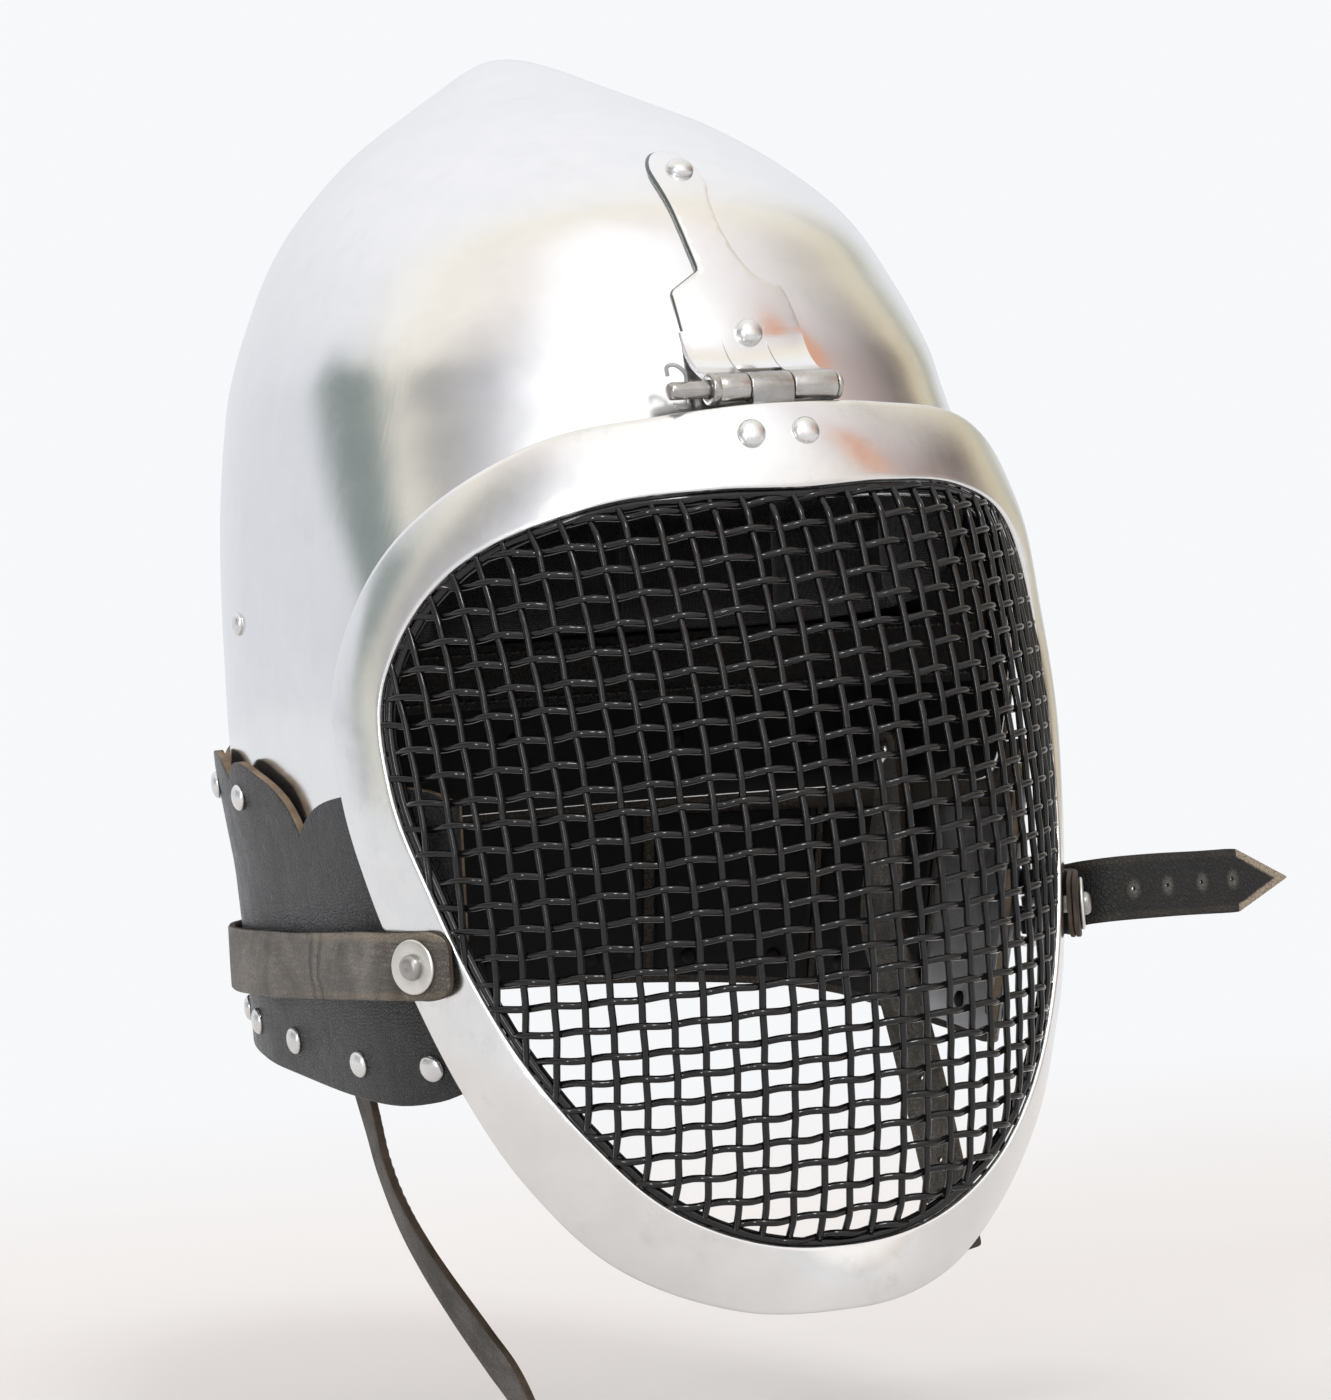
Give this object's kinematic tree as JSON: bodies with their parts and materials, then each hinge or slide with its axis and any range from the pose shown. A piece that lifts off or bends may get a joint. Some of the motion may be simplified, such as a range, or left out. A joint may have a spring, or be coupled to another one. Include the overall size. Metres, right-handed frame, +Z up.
{
  "type": "combat helmet with hinged mesh visor",
  "caption": "Steel combat helmet: pointed skull, hinged visor of woven black wire in a steel frame, riveted leather neck skirt, closure strap with buckle and chin straps.",
  "frame": {"origin": "centre of the head opening in the plane of the closure strap, 263 mm below the skull's point", "axes": "+Z up to the skull's point, -Y out through the visor, +X to the wearer's left"},
  "size_m": [0.2927, 0.285, 0.4281],
  "materials": {
    "polished_steel": "polished, softly mirrored",
    "hinge_steel": "bare forged steel, satin",
    "rivet_steel": "polished domed heads",
    "plate_steel": "dull sheet",
    "buckle_steel": "bright plated wire",
    "black_wire": "black, semi-gloss",
    "black_leather": "black dyed, tan cut edges",
    "strap_leather": "brown-black dyed, worn",
    "chin_leather": "dark dyed",
    "liner_leather": "dark",
    "liner_fabric": "black quilted pads"
  },
  "bodies": {
    "helmet": {"skull_shell": "polished_steel", "side_rivets": "rivet_steel", "hinge_plate": "polished_steel", "plate_rivets": "rivet_steel", "hinge_pin": "hinge_steel", "pin_clip": "hinge_steel", "neck_skirt": "black_leather", "skirt_plates": "plate_steel", "skirt_top_rivets": "rivet_steel", "skirt_lower_rivets": "rivet_steel", "liner_pads": "liner_fabric", "liner_band": "liner_leather", "chin_strap_rivets": "rivet_steel"},
    "visor": {"visor_frame": "polished_steel", "hinge_lug": "hinge_steel", "lug_rivets": "rivet_steel", "edge_rod": "black_wire", "mesh_uprights": "black_wire", "mesh_crosswires": "black_wire", "closure_strap": "strap_leather", "strap_rivet": "rivet_steel", "strap_washer": "rivet_steel", "buckle_tab": "strap_leather", "tab_rivet": "rivet_steel", "tab_washer": "rivet_steel"},
    "closure_buckle": {"closure_buckle": "buckle_steel"},
    "closure_prong": {"closure_prong": "buckle_steel"},
    "chin_strap_right": {"chin_strap_right": "chin_leather"},
    "chin_strap_left": {"chin_strap_left": "chin_leather"},
    "chin_buckle": {"chin_buckle": "buckle_steel"},
    "chin_prong": {"chin_prong": "buckle_steel"}
  },
  "joints": [
    {"name": "visor_hinge", "type": "hinge", "parent": "helmet", "child": "visor", "pos_m": [0, -0.1236, 0.1518], "axis": [-1, 0, 0], "range_deg": [0, 95], "deforming": ["closure_strap"]},
    {"name": "closure_buckle_swing", "type": "hinge", "parent": "visor", "child": "closure_buckle", "pos_m": [0.1083, -0.062, 0], "axis": [0, 0, -1], "range_deg": [0, 20]},
    {"name": "closure_prong_swing", "type": "hinge", "parent": "closure_buckle", "child": "closure_prong", "pos_m": [0.1083, -0.062, 0], "axis": [0, 0, -1], "range_deg": [0, 60]},
    {"name": "chin_strap_right_swing", "type": "hinge", "parent": "helmet", "child": "chin_strap_right", "pos_m": [-0.0982, 0.002, 0.046], "axis": [1, 0, 0], "range_deg": [-15, 30]},
    {"name": "chin_strap_left_swing", "type": "hinge", "parent": "helmet", "child": "chin_strap_left", "pos_m": [0.0982, 0.002, 0.046], "axis": [1, 0, 0], "range_deg": [-15, 30]},
    {"name": "chin_buckle_swing", "type": "hinge", "parent": "chin_strap_right", "child": "chin_buckle", "pos_m": [-0.065, -0.07058, -0.14514], "axis": [0, -0.8924, 0.4512], "range_deg": [-45, 45]},
    {"name": "chin_prong_swing", "type": "hinge", "parent": "chin_buckle", "child": "chin_prong", "pos_m": [-0.065, -0.07058, -0.14514], "axis": [0, -0.8924, 0.4512], "range_deg": [0, 80]}
  ]
}
